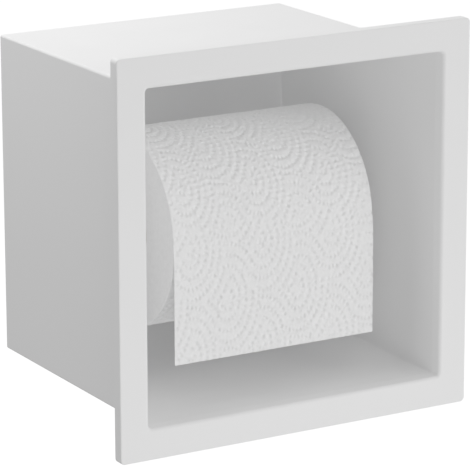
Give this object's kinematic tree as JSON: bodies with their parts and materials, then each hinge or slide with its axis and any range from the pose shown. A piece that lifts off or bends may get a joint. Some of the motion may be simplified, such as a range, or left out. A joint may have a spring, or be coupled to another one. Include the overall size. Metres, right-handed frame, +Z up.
{
  "type": "recessed toilet paper holder",
  "caption": "White coated sheet-metal box with a square front flange, let into the wall, holding a paper roll on a sprung spindle with its free end hanging in front.",
  "frame": {"origin": "centre of the flange's back plane, where it meets the wall's face, on the axis of the box", "axes": "+X to the right as seen from the room, +Y into the wall, +Z up; the flange's face looks along -Y"},
  "size_m": [0.16, 0.1243, 0.16],
  "materials": {
    "white_coated_steel": "fine satin white powder coat",
    "seal_foam": "matt closed-cell foam",
    "fastener_steel": "bright zinc-plated",
    "bush_nylon": "natural nylon",
    "spindle_chrome": "polished",
    "cap_plastic": "moulded, glossy",
    "spring_steel": "drawn spring wire",
    "core_cardboard": "matt, spirally wound",
    "tissue_paper": "soft matt, dot-embossed"
  },
  "bodies": {
    "holder": {"front_flange": "white_coated_steel", "box_wrap": "white_coated_steel", "back_panel": "white_coated_steel", "wall_seal": "seal_foam", "roll_yoke": "white_coated_steel", "weld_stud_left": "fastener_steel", "weld_stud_right": "fastener_steel", "washer_left": "fastener_steel", "washer_right": "fastener_steel", "yoke_nut_left": "fastener_steel", "yoke_nut_right": "fastener_steel", "pin_bush_left": "bush_nylon", "pin_bush_right": "bush_nylon"},
    "spindle_left_half": {"spindle_outer_tube": "spindle_chrome", "spindle_cap_left": "cap_plastic", "spindle_spring": "spring_steel"},
    "spindle_right_half": {"spindle_inner_tube": "spindle_chrome", "spindle_cap_right": "cap_plastic"},
    "roll": {"cardboard_core": "core_cardboard", "paper_roll": "tissue_paper"},
    "tail": {"paper_tail": "tissue_paper"}
  },
  "joints": [
    {"name": "roll_spin", "type": "hinge", "parent": "holder", "child": "roll", "pos_m": [0, 0.0528, -0.0025], "axis": [1, 0, 0], "range_deg": [-29, 21.5]},
    {"name": "paper_feed", "type": "slide", "parent": "holder", "child": "tail", "axis": [0, 0, -1], "range_m": [-0.0202, 0.015]},
    {"name": "spindle_turn", "type": "hinge", "parent": "holder", "child": "spindle_left_half", "pos_m": [0, 0.0528, 0.0018], "axis": [1, 0, 0], "range_deg": [-41, 30.5]},
    {"name": "spindle_press", "type": "slide", "parent": "spindle_left_half", "child": "spindle_right_half", "axis": [-1, 0, 0], "range_m": [0, 0.01], "stiffness_N_per_m": 200, "springref_m": -0.023, "deforming": ["spindle_spring"]}
  ],
  "couplings": [
    {"joint": "paper_feed", "follows": "roll_spin", "m_per_rad": 0.0396},
    {"joint": "spindle_turn", "follows": "roll_spin", "ratio": 1.374}
  ]
}
